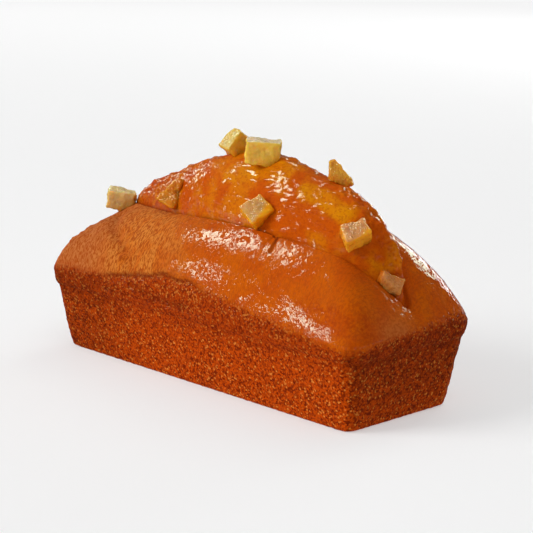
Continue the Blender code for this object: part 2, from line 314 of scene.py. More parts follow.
@dataclass(frozen=True)
class CrustFinish:
    """Baked crust, granular where the tin held it and syrupy on top."""

    wall: Colour = (0.57, 0.069, 0.0012)
    wall_dark: Colour = (0.19, 0.017, 0.0008)
    wall_gold: Colour = (0.85, 0.32, 0.050)
    flap: Colour = (0.58, 0.106, 0.0008)
    flap_deep: Colour = (0.54, 0.082, 0.0010)
    tan: Colour = (0.62, 0.195, 0.026)
    tan_pore: Colour = (0.36, 0.060, 0.0050)
    crumb: Colour = (0.61, 0.155, 0.0012)
    amber: Colour = (0.66, 0.222, 0.0010)
    # Also a painted lighter patch at the crumb's right end.
    crag: Colour = (0.38, 0.042, 0.0015)
    # Also a painted sheen on the left end of the flaps.
    dull: Colour = (0.49, 0.145, 0.036)
    # The colour of the painted shade in the crevice, the creases and the folds.
    crack: Colour = (0.13, 0.016, 0.0020)
    grain_size: float = 0.75
    grain_depth: float = 0.18
    grain_border_loss: float = 0.35
    grain_border: Span = (0.0, 0.65)
    curl_size: float = 1.9
    curl_depth: float = 0.09
    curl_swirl: float = 1.6
    drawn_stretch: Point = (0.26, 1.0, 1.0)
    drawn_turn: Point = (0.0, 14.0, 0.0)
    drawn_swirl: float = 0.4
    drawn_depth: float = 0.20
    ripple_size: float = 0.75
    ripple_depth: float = 0.02
    pore_size: float = 0.55
    pore_depth: float = 0.10
    pore_stretch: Point = (1.0, 0.32, 0.32)
    bead_pitch: float = 2.6
    bead_depth: float = 0.12
    bead_edge: Span = (0.17, 0.05)
    bead_chance: Span = (0.6, 0.62)
    film_share: float = 0.55
    film_edge: Span = (0.83, 0.855)
    film_rise: Span = (0.0, 0.4)
    film_fill: float = 0.75
    moist_chance: Span = (0.73, 0.80)
    moist_share: float = 0.5
    dry_roughness: float = 0.75
    dry_gloss: float = 0.03
    wet_roughness: float = 0.06
    wet_index: float = 1.45
    cloud_size: float = 11.0
    speck_size: float = 1.1
    dark_grains: Span = (0.0, 0.58)
    gold_grains: Span = (0.86, 0.97)
    gold_share: float = 0.55
    rim_band: Span = (30.0, 36.0)
    rim_gold: float = 0.10
    # Painted shade in the gaps between the grains.
    grain_gaps: Span = (0.40, 0.75)
    gap_shade: float = 0.5
    # Darker towards the top of the walls: partly painted shade under the rim, partly darker baking.
    upper_wall: Span = (18.0, 31.0)
    upper_share: float = 0.35
    end_shade: float = 0.42
    flap_clouds: Span = (0.38, 0.62)
    patch_size: float = 4.5
    patch_stretch: Point = (1.0, 0.6, 0.6)
    patch_edge: Span = (0.40, 0.58)
    tan_least: float = 0.40
    tan_patchy: float = 0.60
    pore_edge: Span = (0.55, 0.41)
    pore_least: float = 0.43
    pore_on_tan: float = 0.52
    mottle_edge: Span = (0.50, 0.36)
    mottle_share: float = 0.30
    crumb_clouds: Span = (0.40, 0.62)
    amber_clouds: Span = (0.35, 0.60)
    amber_least: float = 0.55
    amber_cloudy: float = 0.45
    crag_edge: Span = (0.51, 0.37)
    crag_share: float = 0.42
    streak_size: float = 2.4
    streak_stretch: Point = (1.0, 0.35, 0.35)
    streak_edge: Span = (0.54, 0.40)
    streak_share: float = 0.30
    deep_edge: Span = (0.62, 0.40)
    deep_least: float = 0.25

    def material(self) -> bpy.types.Material:
        """Return the crust's material.

        Returns:
            A dry and a syrupy crust, mixed where the film lies.
        """
        recipe = Recipe("glazed_crust")
        mask = {region: recipe.attribute(region.value) for region in Region}
        grain, number, chance = recipe.grains(recipe.place(), self.grain_size)
        border = mask[Region.GRAINY] - self.grain_border_loss * chance
        mask[Region.GRAINY] = border.step(*self.grain_border)
        curl = recipe.lumps(recipe.place(), self.curl_size, detail=1.0, swirl=self.curl_swirl)
        along = recipe.place(self.drawn_stretch, self.drawn_turn)
        drawn = recipe.lumps(along, self.curl_size, detail=1.0, swirl=self.drawn_swirl)
        film = curl * (1.0 - mask[Region.DRAWN]) + drawn * mask[Region.DRAWN]
        pores = recipe.lumps(recipe.place(self.pore_stretch), self.pore_size, detail=3.0)
        colour = self.colour(recipe, mask, grain, number, pores)
        normal = recipe.relief(self.relief(recipe, mask, grain, film, pores))
        dry = recipe.surface({
            "Base Color": colour,
            "Roughness": self.dry_roughness,
            "Specular IOR Level": self.dry_gloss,
            "Normal": normal,
        })
        syrup = recipe.surface({
            "Base Color": colour,
            "Roughness": self.wet_roughness,
            "IOR": self.wet_index,
            "Normal": normal,
        })
        moist_grains = mask[Region.GRAINY] * chance.step(*self.moist_chance) * self.moist_share
        share = (film + self.film_share * mask[Region.WET]).step(*self.film_edge) + moist_grains
        mixed = recipe.node("ShaderNodeMixShader", {}, {0: share, 1: dry, 2: syrup})
        return recipe.finish(Wire(recipe, mixed.outputs[0]))

    def colour(
        self, recipe: Recipe, mask: dict[Region, Wire], grain: Wire, number: Wire, pores: Wire
    ) -> Wire:
        """Return the crust's colour.

        Args:
            recipe: The material under construction.
            mask: The painted regions.
            grain: The distance from each grain's middle.
            number: Each grain's own random number.
            pores: The fine pores of the smooth crust.

        Returns:
            The colour all over the loaf.
        """
        cloud = recipe.lumps(recipe.place(), self.cloud_size)
        specks = recipe.lumps(recipe.place(), self.speck_size, detail=3.0)

        wall = recipe.blend(number.step(*self.dark_grains), self.wall_dark, self.wall)
        rim = recipe.height().step(*self.rim_band)
        gold = (number + self.rim_gold * rim).step(*self.gold_grains) * self.gold_share
        wall = recipe.blend(gold, wall, self.wall_gold)
        # Painted shade in the gaps between the grains.
        wall = recipe.blend(grain.step(*self.grain_gaps) * self.gap_shade, wall, self.wall_dark)
        # Towards the top of the walls: partly painted shade under the rim, partly darker baking.
        upper = recipe.height().step(*self.upper_wall) * self.upper_share
        wall = recipe.blend(upper, wall, self.wall_dark)
        # Painted shade: the walls are darker towards the left end and on the far end wall.
        wall = recipe.darken(wall, 1.0 - self.end_shade * mask[Region.DEEP])

        flap = recipe.blend(cloud.step(*self.flap_clouds), self.flap_deep, self.flap)
        patches = recipe.lumps(recipe.place(self.patch_stretch), self.patch_size, detail=4.0)
        tan_share = self.tan_least + self.tan_patchy * patches.step(*self.patch_edge)
        flap = recipe.blend(mask[Region.MATTE] * tan_share, flap, self.tan)
        # A greyer tone, which is a painted sheen on the left end.
        flap = recipe.blend(mask[Region.DULL], flap, self.dull)
        pore_share = mask[Region.MATTE] * self.pore_on_tan + self.pore_least
        flap = recipe.blend(pores.step(*self.pore_edge) * pore_share, flap, self.tan_pore)
        mottled = specks.step(*self.mottle_edge) * self.mottle_share
        flap = recipe.blend(mottled * (1.0 - mask[Region.MATTE]), flap, self.crag)

        burst = recipe.blend(cloud.step(*self.crumb_clouds), self.flap_deep, self.crumb)
        amber_share = self.amber_least + self.amber_cloudy * cloud.step(*self.amber_clouds)
        # Amber crumb, and a painted lighter patch at the crumb's right end.
        burst = recipe.blend(mask[Region.AMBER] * amber_share, burst, self.amber)
        burst = recipe.blend(specks.step(*self.crag_edge) * self.crag_share, burst, self.crag)

        colour = recipe.blend(mask[Region.CRUMB], flap, burst)
        streaks = recipe.lumps(recipe.place(self.streak_stretch), self.streak_size, detail=3.0)
        brown = streaks.step(*self.streak_edge) * mask[Region.DULL] * self.streak_share
        colour = recipe.blend(brown, colour, self.tan_pore)
        deep_share = self.deep_least + specks.step(*self.deep_edge)
        colour = recipe.blend(mask[Region.DEEP] * deep_share, colour, self.crag)
        colour = recipe.blend(mask[Region.GRAINY], colour, wall)
        # Painted shade in the crevice, the creases and the folds.
        return recipe.blend(mask[Region.SHADE], colour, self.crack)

    def relief(
        self, recipe: Recipe, mask: dict[Region, Wire], grain: Wire, film: Wire, pores: Wire
    ) -> Wire:
        """Return the height of the finest relief, in millimetres.

        Args:
            recipe: The material under construction.
            mask: The painted regions.
            grain: The distance from each grain's middle.
            film: The curls of the syrup film.
            pores: The fine pores of the smooth crust.

        Returns:
            The height all over the loaf.
        """
        ripple = recipe.lumps(recipe.place(), self.ripple_size, detail=1.0)
        bead, chance, _ = recipe.grains(recipe.place(), self.bead_pitch)
        wet = mask[Region.WET]
        drawn_depth = self.drawn_depth * mask[Region.DRAWN]
        waves = film * (self.curl_depth + drawn_depth) + ripple * self.ripple_depth
        height = waves * mask[Region.WRINKLED] * wet.step(*self.film_rise)
        beads = bead.step(*self.bead_edge) * chance.step(*self.bead_chance)
        height = height + beads * self.bead_depth * wet
        height = height + (1.0 - grain * grain) * self.grain_depth * mask[Region.GRAINY]
        smooth = (1.0 - mask[Region.GRAINY]) * (1.0 - self.film_fill * wet)
        return height + pores * self.pore_depth * smooth


@dataclass(frozen=True)
class PeelFinish:
    """Candied peel: translucent, sticky, with fine pores on the rind side."""

    pore_size: float = 0.75
    pore_depth: float = 0.28
    pore_on_flesh: float = 0.35
    pore_on_rind: float = 0.65
    cloud_size: float = 3.5
    cloud_least: float = 0.72
    cloud_gain: float = 0.42
    speck_size: float = 0.9
    speck_depth: float = 0.26
    roughness: float = 0.10
    index: float = 1.45
    glow: float = 0.8
    glow_radius: Point = (1.0, 0.65, 0.18)
    glow_reach: float = 5.5

    def material(self) -> bpy.types.Material:
        """Return the peel's material, which takes its tint from the mesh.

        Returns:
            The one material that all peel shares.
        """
        recipe = Recipe("candied_peel")
        tint = recipe.painted_colour("tint")
        rind = recipe.attribute("rind")
        cloud = recipe.lumps(recipe.place(), self.cloud_size)
        pores, _, _ = recipe.grains(recipe.place(), self.pore_size)
        specks = recipe.lumps(recipe.place(), self.speck_size)
        pore_share = self.pore_on_flesh + self.pore_on_rind * rind
        return recipe.finish(recipe.surface({
            "Base Color": recipe.darken(tint, self.cloud_least + self.cloud_gain * cloud),
            "Roughness": self.roughness,
            "Normal": recipe.relief(pores * self.pore_depth * pore_share + specks * self.speck_depth),
            "IOR": self.index,
            "Subsurface Weight": self.glow,
            "Subsurface Radius": self.glow_radius,
            "Subsurface Scale": self.glow_reach * MM,
        }))


@dataclass(frozen=True)
class BackdropFinish:
    """Plain pale studio paper, evenly pale as far as the eye reaches."""

    colour: Colour = (0.60, 0.60, 0.60)
    glow: float = 0.42
    lift: float = 0.27
    lift_reach: Span = (300.0, 2800.0)
    glow_shade: float = 0.2
    roughness: float = 0.9
    black: Colour = (0.0, 0.0, 0.0)
    white: Colour = (1.0, 1.0, 1.0)

    def material(self) -> bpy.types.Material:
        """Return the paper's material.

        Returns:
            A matte grey that glows a little more the farther it lies.
        """
        recipe = Recipe("studio_paper")
        made = recipe.node("ShaderNodeVectorMath", {"operation": "LENGTH"}, {0: recipe.place()})
        away = Wire(recipe, made.outputs["Value"])
        glow = self.glow + away.step(*self.lift_reach) * self.lift
        return recipe.finish(recipe.surface({
            "Base Color": recipe.darken(self.colour, 1.0 - self.glow_shade * glow),
            "Roughness": self.roughness,
            "Specular IOR Level": 0.0,
            "Emission Color": recipe.blend(glow, self.black, self.white),
            "Emission Strength": 1.0,
        }))


class Hand:
    """The few modelling moves that every piece needs."""

    @staticmethod
    def hold(thing: bpy.types.Object) -> None:
        """Select one object alone and make it active.

        Args:
            thing: The object.
        """
        bpy.ops.object.select_all(action="DESELECT")
        thing.select_set(True)
        bpy.context.view_layer.objects.active = thing

    @staticmethod
    def copy_of(node: bpy.types.Object, name: str) -> bpy.types.Object:
        """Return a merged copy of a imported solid.

        Args:
            node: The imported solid, which stays as it is.
            name: The copy's name.

        Returns:
            The copy, with its doubles merged and its triangles paired.
        """
        piece = node.copy()
        piece.data = node.data.copy()
        piece.name = name
        piece.data.name = name
        piece.data.materials.clear()
        bpy.context.scene.collection.objects.link(piece)
        piece.parent = None
        for key in list(piece.keys()):
            del piece[key]
        Hand.hold(piece)
        bpy.ops.mesh.customdata_custom_splitnormals_clear()
        bpy.ops.object.mode_set(mode="EDIT")
        bpy.ops.mesh.select_all(action="SELECT")
        bpy.ops.mesh.remove_doubles(threshold=MERGE_DISTANCE * MM)
        bpy.ops.mesh.tris_convert_to_quads(face_threshold=QUAD_ANGLE, shape_threshold=QUAD_SHAPE)
        bpy.ops.object.mode_set(mode="OBJECT")
        return piece

    @staticmethod
    def apply(piece: bpy.types.Object, kind: str, settings: dict[str, object]) -> None:
        """Add one modifier to a piece and apply it.

        Args:
            piece: The piece.
            kind: The modifier's type.
            settings: Its properties.
        """
        Hand.hold(piece)
        modifier = piece.modifiers.new(kind.lower(), kind)
        for key, value in settings.items():
            setattr(modifier, key, value)
        bpy.ops.object.modifier_apply(modifier=modifier.name)

    @staticmethod
    def pick_faces(piece: bpy.types.Object, chosen: np.ndarray) -> None:
        """Select some faces of a piece and enter edit mode.

        Args:
            piece: The piece, in object mode.
            chosen: True for every face that is to be selected.
        """
        Hand.hold(piece)
        mesh = piece.data
        bpy.ops.object.mode_set(mode="EDIT")
        bpy.ops.mesh.select_mode(type="FACE")
        bpy.ops.mesh.select_all(action="DESELECT")
        bpy.ops.object.mode_set(mode="OBJECT")
        mesh.polygons.foreach_set("select", chosen)
        bpy.ops.object.mode_set(mode="EDIT")

    @staticmethod
    def face_data(piece: bpy.types.Object) -> tuple[np.ndarray, np.ndarray]:
        """Return where every face lies and how it faces.

        Args:
            piece: The piece, in object mode.

        Returns:
            The middle, in millimetres, and the normal of every face.
        """
        count = len(piece.data.polygons)
        middles = np.empty(count * 3)
        normals = np.empty(count * 3)
        piece.data.polygons.foreach_get("center", middles)
        piece.data.polygons.foreach_get("normal", normals)
        return middles.reshape(-1, 3) / MM, normals.reshape(-1, 3)

    @staticmethod
    def places(piece: bpy.types.Object) -> np.ndarray:
        """Return where every vertex lies.

        Args:
            piece: The piece, in object mode.

        Returns:
            The place of every vertex, in millimetres.
        """
        flat = np.empty(len(piece.data.vertices) * 3)
        piece.data.vertices.foreach_get("co", flat)
        return flat.reshape(-1, 3) / MM

    @staticmethod
    def normals(piece: bpy.types.Object) -> np.ndarray:
        """Return how the skin faces at every vertex.

        Args:
            piece: The piece, in object mode.

        Returns:
            The normal of every vertex.
        """
        flat = np.empty(len(piece.data.vertices) * 3)
        piece.data.vertex_normals.foreach_get("vector", flat)
        return flat.reshape(-1, 3)

    @staticmethod
    def put(piece: bpy.types.Object, places: np.ndarray) -> None:
        """Move every vertex to its new place, given in millimetres."""
        piece.data.vertices.foreach_set("co", (places * MM).ravel())
        piece.data.update()

    @staticmethod
    def paint(piece: bpy.types.Object, name: str, values: np.ndarray) -> None:
        """Store a number or a colour for every vertex.

        Args:
            piece: The piece.
            name: The attribute's name.
            values: One number, or one colour of three numbers, for each vertex.
        """
        if values.ndim == 1:
            layer = piece.data.attributes.new(name, "FLOAT", "POINT")
            layer.data.foreach_set("value", values.astype(np.float32))
        else:
            layer = piece.data.attributes.new(name, "FLOAT_COLOR", "POINT")
            full = np.concatenate([values, np.ones((len(values), 1))], axis=1)
            layer.data.foreach_set("color", full.astype(np.float32).ravel())


def ramp(values: np.ndarray, low: float, high: float) -> np.ndarray:
    """Return a smooth 0 to 1 as the values go from low to high.

    Args:
        values: The numbers to be graded.
        low: The number at which the result is 0.
        high: The number at which the result is 1.

    Returns:
        The smooth step of every number.
    """
    share = np.clip((values - low) / (high - low), 0.0, 1.0)
    return share * share * (3.0 - 2.0 * share)


def lumps(places: np.ndarray, size: float | Point, seed: float) -> np.ndarray:
    """Return smooth random heights between -1 and 1.

    Args:
        places: The places, in millimetres.
        size: The size of a lump, in millimetres, for all axes or for each.
        seed: A number that sets this pattern apart from the others.

    Returns:
        One height for each place.
    """
    scaled = places / np.array(size) + seed
    return np.array([noise.noise(place) for place in scaled.tolist()])


def groove(places: np.ndarray, line: Iterable[Point], width: float) -> np.ndarray:
    """Return how deep every place lies in a groove along a line of points.

    Args:
        places: The places, in millimetres.
        line: The groove's points, in millimetres.
        width: The groove's half width, in millimetres.

    Returns:
        1 at the line itself, fading to 0 beside it.
    """
    points = np.array(list(line))
    near = np.full(len(places), np.inf)
    for start, end in zip(points, points[1:]):
        run = end - start
        share = np.clip((places - start) @ run / (run @ run), 0.0, 1.0)
        near = np.minimum(near, np.linalg.norm(places - start - share[:, None] * run, axis=1))
    return np.exp(-((near / width) ** 2))


@dataclass(frozen=True)
class Fade:
    """A smooth rise of a number from 0 to its strength between two values."""

    low: float
    high: float
    strength: float = 1.0

    def of(self, values: np.ndarray) -> np.ndarray:
        """Return the rise at every value."""
        return self.strength * ramp(values, self.low, self.high)


@dataclass(frozen=True)
class Band:
    """A soft band across one value: its strength, its middle and its half width."""

    strength: float
    middle: float
    width: float

    def of(self, values: np.ndarray) -> np.ndarray:
        """Return the band's strength at every value."""
        return self.strength * np.exp(-(((values - self.middle) / self.width) ** 2))


@dataclass(frozen=True)
class Bumps:
    """Random bumps: their height, their size and the number that sets them apart."""

    height: float
    size: float | Point
    seed: float

    def at(self, places: np.ndarray) -> np.ndarray:
        """Return the bumps' height at every place."""
        return self.height * lumps(places, self.size, self.seed)


@dataclass(frozen=True)
class Mark:
    """A soft mark along a line: its strength, its half width and its points."""

    strength: float
    width: float
    line: Line

    def at(self, places: np.ndarray) -> np.ndarray:
        """Return the mark's strength at every place."""
        return self.strength * groove(places, self.line, self.width)


def heaped(places: np.ndarray, layers: Iterable[Bumps | Mark]) -> np.ndarray:
    """Return several layers of bumps or marks added up."""
    return np.sum([layer.at(places) for layer in layers], axis=0)


def strongest(places: np.ndarray, layers: Iterable[Mark]) -> np.ndarray:
    """Return the strongest of several marks at every place."""
    return np.max([layer.at(places) for layer in layers], axis=0)


LEDGE: Line = (
    (-34.0, -35.4, 36.6), (-25.0, -35.2, 34.6), (-17.0, -35.1, 33.6), (-8.0, -35.0, 32.9),
    (0.0, -35.0, 33.3),
)
SPLIT: Line = ((36.6, -19.4, 65.0), (37.3, -23.0, 62.0), (37.7, -24.5, 60.3))
HIP_CREASE: Line = (
    (-63.0, -17.0, 60.0), (-57.1, -25.4, 56.5), (-48.0, -29.5, 52.4), (-41.0, -32.0, 48.0),
    (-36.1, -33.9, 43.9),
)
HIP: Line = ((-80.0, -27.0, 48.0), (-66.0, -24.0, 54.0), (-50.0, -27.0, 53.0), (-38.0, -33.0, 45.0))
TIP_CREASE: Line = ((84.0, 1.0, 43.0), (86.3, 2.0, 41.0), (87.6, 3.0, 36.8))
AMBER_LEFT: Line = ((0.0, -10.0, 85.0), (11.0, -8.0, 88.0), (26.0, -6.5, 88.5))
AMBER_RIGHT: Line = ((41.5, -8.0, 83.0), (51.0, -8.6, 80.4), (61.0, -9.4, 76.5))
# A painted lighter patch on the crumb's right end, which faces away from the key light.
LIT_CRUMB_END: Line = ((60.0, -7.0, 76.0), (68.0, -10.0, 68.0), (77.0, -7.0, 58.0))
FAR_CREST: Line = ((50.0, 1.0, 84.5), (64.0, -3.6, 79.7), (71.6, -3.0, 73.1), (80.0, -0.7, 59.0))
RED_FLAP: Line = ((64.0, -33.0, 43.0), (78.0, -31.0, 42.0), (88.0, -23.0, 40.0))
SMOOTH_FLAP: Line = ((62.0, -24.0, 57.0), (74.0, -22.0, 53.0), (86.0, -17.0, 44.0))
TOP_STRIP: Line = (
    (4.7, -21.6, 65.2), (15.9, -21.6, 65.2), (26.8, -21.3, 65.0), (34.0, -20.6, 65.0),
)
DULL_CORNER: Line = ((90.0, -14.0, 36.5), (90.8, -8.0, 36.2))
RIDGE: Line = (
    (24.0, -10.5, 84.8), (34.6, -10.1, 83.0), (49.4, -10.9, 78.1), (65.7, -12.8, 66.7),
)
GLAZED_FOOT: Line = (
    (57.0, -32.4, 43.6), (63.0, -33.3, 41.2), (68.5, -34.0, 39.3), (76.0, -34.4, 37.9),
    (86.0, -33.0, 37.6),
)
DRY_BELLY: Line = ((24.0, -31.5, 48.0), (35.3, -32.4, 46.3), (46.0, -32.6, 44.6))


@dataclass
class Loaf:
    """The cake: one closed skin with its creases, pores and crags."""

    node: bpy.types.Object
    finish: CrustFinish = field(default_factory=CrustFinish)
    wall_top: float = 34.0
    wall_cut_pitch: float = 4.4
    wall_cut_heights: tuple[float, ...] = (1.2, 3.2, 7.6, 12.0, 16.4, 20.8, 24.8, 27.4, 31.7)
    torn_edge: tuple[Point, ...] = (
        (87.0, 2.5, 41.0),
        (80.6, 4.2, 52.0),
        (73.8, 6.0, 63.0),
        (61.0, 10.0, 70.5),
        (42.0, 16.5, 71.5),
        (10.0, 19.5, 70.5),
        (-28.0, 16.5, 67.0),
        (-54.0, 8.5, 64.5),
        (-67.5, -3.0, 62.8),
        (-61.0, -8.0, 63.7),
        (-32.4, -14.5, 64.8),
        (9.0, -19.0, 66.9),
        (42.9, -19.0, 65.3),
        (62.6, -17.5, 63.2),
        (74.5, -13.5, 58.4),
        (82.9, -3.5, 48.5),
    )
    lowest_torn: float = 38.0
    outline_steps: int = 60
    rim_heights: tuple[tuple[float, float], ...] = (
        (-88.0, 36.5), (-60.0, 37.3), (-40.0, 39.6), (-21.0, 43.4), (-9.0, 44.6), (3.0, 43.7),
        (12.0, 42.2), (26.0, 40.6), (43.0, 38.2), (60.0, 36.0), (75.0, 33.8), (88.0, 33.0),
    )
    end_rim_height: float = 35.6
    end_rim_slope: float = 0.085
    near_end: Fade = Fade(79.0, 88.0)
    end_sides: Fade = Fade(24.0, 33.0)
    rim_wander: Bumps = Bumps(1.3, 9.0, 11.0)
    wall_margin: float = 1.0
    floor_level: float = 0.02
    floor_facing: float = 0.9
    flat_facing: float = 0.9999
    flat_angle: float = 0.5
    crack_reach: float = 1.6
    valley_from: float = 40.0
    relax_turns: int = 6
    tip_reach: float = 5.0
    tip_from: float = 70.0
    tip_turns: int = 30

    grain_edge: Fade = Fade(-1.5, 1.5)
    grain_foot: Fade = Fade(0.3, 2.0)
    grain_bumps: tuple[Bumps, ...] = (Bumps(1.0, 1.25, 3.0), Bumps(0.9, 2.6, 5.0))
    grain_sink: float = 0.9
    grain_depth: float = 0.16
    crumb_rise: Fade = Fade(0.8, 3.0)
    fold_start: Fade = Fade(-60.0, -42.0)
    fold_end: Fade = Fade(-4.0, 16.0)
    upper_fold: Band = Band(0.75, -0.2, 0.9)
    lower_fold: Band = Band(0.55, 31.6, 0.6)
    creases: tuple[Mark, ...] = (
        Mark(1.0, 0.9, LEDGE),
        Mark(0.7, 0.55, SPLIT),
        Mark(1.5, 1.3, HIP_CREASE),
        Mark(1.2, 4.0, HIP_CREASE),
        Mark(0.4, 0.9, TIP_CREASE),
    )
    hip: Mark = Mark(1.0, 9.0, HIP)
    hip_bumps: tuple[Bumps, ...] = (Bumps(0.70, 6.0, 41.0), Bumps(1.0, (2.2, 3.6, 3.6), 43.0))
    crust_bumps: Bumps = Bumps(0.15, 7.0, 59.0)
    crags: tuple[Bumps, ...] = (Bumps(0.95, 3.1, 17.0), Bumps(0.65, 1.6, 19.0))
    crag_least: float = 0.18
    crag_gain: float = 0.82
    crag_crest: Mark = Mark(1.0, 5.0, FAR_CREST)
    crag_left: Fade = Fade(8.0, 40.0)
    crag_far: Fade = Fade(-3.0, 2.0, 0.7)
    wrinkle_bumps: Bumps = Bumps(0.16, 2.3, 47.0)

    lace: float = 0.62
    calm: float = 0.49
    smooth_flap: Mark = Mark(0.26, 11.0, SMOOTH_FLAP)
    far_tilt: float = 0.12
    far_lace: Fade = Fade(0.0, 6.0, 0.16)
    glazed_foot: Mark = Mark(0.33, 2.0, GLAZED_FOOT)
    dry_belly: Mark = Mark(0.35, 4.0, DRY_BELLY)
    pool_edge: Fade = Fade(2.0, 6.0)
    pool_start: Fade = Fade(-12.0, 0.0)
    pool_end: Fade = Fade(18.0, 30.0)
    pool_gain: float = 0.26
    ridge: Mark = Mark(1.0, 4.5, RIDGE)
    far_dome: Fade = Fade(-4.0, 2.0)
    ridge_gain: float = 0.30
    left_dome: Fade = Fade(2.0, 30.0, 0.15)
    smooth_marks: tuple[Mark, ...] = (Mark(1.0, 8.0, SMOOTH_FLAP), Mark(0.5, 1.3, TOP_STRIP))
    smooth_share: float = 1.05
    least_wrinkled: float = 0.05

    speckle: Bumps = Bumps(1.0, 1.1, 23.0)
    border_speckle: float = 1.5
    grain_border: float = 6.0
    crumb_speckle: float = 0.4
    crumb_edge: Fade = Fade(0.2, 1.0)
    dry_until: float = -12.0
    dry_slant: float = 1.3
    dry_height: float = 58.0
    ragged: tuple[Bumps, ...] = (Bumps(5.0, 6.0, 29.0), Bumps(5.0, 1.6, 31.0))
    wet_start: Fade = Fade(-9.0, 9.0)
    tan_end: Fade = Fade(-14.0, 24.0)
    grain_dries: Fade = Fade(0.3, 0.9)
    dull_dries: float = 0.8
    dull_corner: Mark = Mark(0.6, 6.0, DULL_CORNER)
    # A painted sheen on the left end of the flaps.
    left_sheen: Fade = Fade(40.0, 68.0, 0.85)
    # Painted shade along the crevice at the torn edge, less towards its right end; the marks below paint
    # shade in the creases and the fold.
    crack: Band = Band(1.0, 0.5, 0.4)
    crack_shade_share: float = 0.9
    crack_shade_ends: Fade = Fade(34.0, 58.0, 0.7)
    fold_shade: Band = Band(0.70, -0.2, 0.8)
    shades: tuple[Mark, ...] = (
        Mark(0.85, 1.1, LEDGE),
        Mark(0.9, 0.8, SPLIT),
        Mark(0.75, 1.3, HIP_CREASE),
        Mark(0.30, 0.9, TIP_CREASE),
    )
    # The amber crumb, and a painted lighter patch at its right end.
    ambers_and_light: tuple[Mark, ...] = (
        Mark(1.0, 6.0, AMBER_LEFT),
        Mark(1.0, 4.6, AMBER_RIGHT),
        Mark(0.42, 7.0, LIT_CRUMB_END),
    )
    amber_ragged: Bumps = Bumps(0.22, 3.0, 37.0)
    amber_edge: Fade = Fade(0.25, 0.75)
    deep_crest: Mark = Mark(0.10, 3.2, FAR_CREST)
    deep_flap: Mark = Mark(0.45, 8.0, RED_FLAP)
    deep_dome: Fade = Fade(12.0, 50.0, 0.55)
    # Painted shade on the walls, towards the left end and on the far end wall.
    left_wall_shade: Fade = Fade(20.0, 72.0, 0.80)
    end_wall_shade: Fade = Fade(83.0, 88.0)
    end_wall_shade_share: float = 0.85
    end_wall_shade_top: Fade = Fade(28.0, 36.0, 0.35)
    deep_ragged: Bumps = Bumps(0.8, 2.6, 53.0)
    drawn_start: Fade = Fade(-25.0, 5.0)
    drawn_far: Fade = Fade(0.0, 8.0)
    block_size: int = 3000
    far_outside: float = -99.0
    tiny: float = 1e-9

    def build(self) -> bpy.types.Object:
        """Return the finished loaf.

        Returns:
            The refined, carved, painted and dressed copy of the solid.
        """
        piece = self.fine_skin()
        self.relax(piece)
        self.carve(piece)
        self.paint_regions(piece)
        Hand.hold(piece)
        bpy.ops.object.shade_smooth()
        piece.data.materials.append(self.finish.material())
        return piece

    def fine_skin(self) -> bpy.types.Object:
        """Return a copy of the solid with a fine and even skin.

        Returns:
            The copy, finest on the walls and plain underneath.
        """
        piece = Hand.copy_of(self.node, "cake_loaf")
        middles, _ = Hand.face_data(piece)
        Hand.pick_faces(piece, middles[:, 2] < self.wall_top)
        bpy.ops.mesh.hide(unselected=True)
        low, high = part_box("loaf")
        for axis in (0, 1):
            half = high[axis] / MM
            for place in np.arange(self.wall_cut_pitch / 2 - half, half, self.wall_cut_pitch):
                self.cut_across(axis, float(place))
        for height in self.wall_cut_heights:
            self.cut_across(2, height)
        bpy.ops.mesh.reveal(select=False)
        bpy.ops.object.mode_set(mode="OBJECT")
        Hand.apply(piece, "SUBSURF", {"levels": 2, "render_levels": 2})
        middles, normals = Hand.face_data(piece)
        side = normals[:, 2] > -self.floor_facing
        Hand.pick_faces(piece, (middles[:, 2] < self.wall_top - self.wall_margin) & side)
        bpy.ops.mesh.subdivide(number_cuts=1)
        bpy.ops.object.mode_set(mode="OBJECT")
        middles, normals = Hand.face_data(piece)
        flat = normals[:, 2] < -self.flat_facing
        Hand.pick_faces(piece, (middles[:, 2] < self.floor_level) & flat)
        bpy.ops.mesh.dissolve_limited(angle_limit=math.radians(self.flat_angle))
        bpy.ops.object.mode_set(mode="OBJECT")
        return piece

    @staticmethod
    def cut_across(axis: int, place: float) -> None:
        """Cut all visible faces by a plane across one axis.

        Args:
            axis: The axis that the plane stands across, 0 to 2.
            place: Where along it, in millimetres.
        """
        normal = [0.0, 0.0, 0.0]
        normal[axis] = 1.0
        through = [0.0, 0.0, 0.0]
        through[axis] = place * MM
        bpy.ops.mesh.select_all(action="SELECT")
        bpy.ops.mesh.bisect(plane_co=through, plane_no=normal)

    def torn_outline(self) -> np.ndarray:
        """Return dense points of the torn edge.

        Returns:
            The points of a smooth closed Catmull-Rom loop, in millimetres.
        """
        knots = np.array(self.torn_edge)
        before, after = np.roll(knots, 1, axis=0), np.roll(knots, -1, axis=0)
        beyond = np.roll(knots, -2, axis=0)
        points = []
        for t in np.arange(self.outline_steps) / self.outline_steps:
            points.append(0.5 * (
                2.0 * knots
                + (after - before) * t
                + (2.0 * before - 5.0 * knots + 4.0 * after - beyond) * t ** 2
                + (3.0 * knots - before - 3.0 * after + beyond) * t ** 3
            ))
        return np.stack(points, axis=1).reshape(-1, 3)

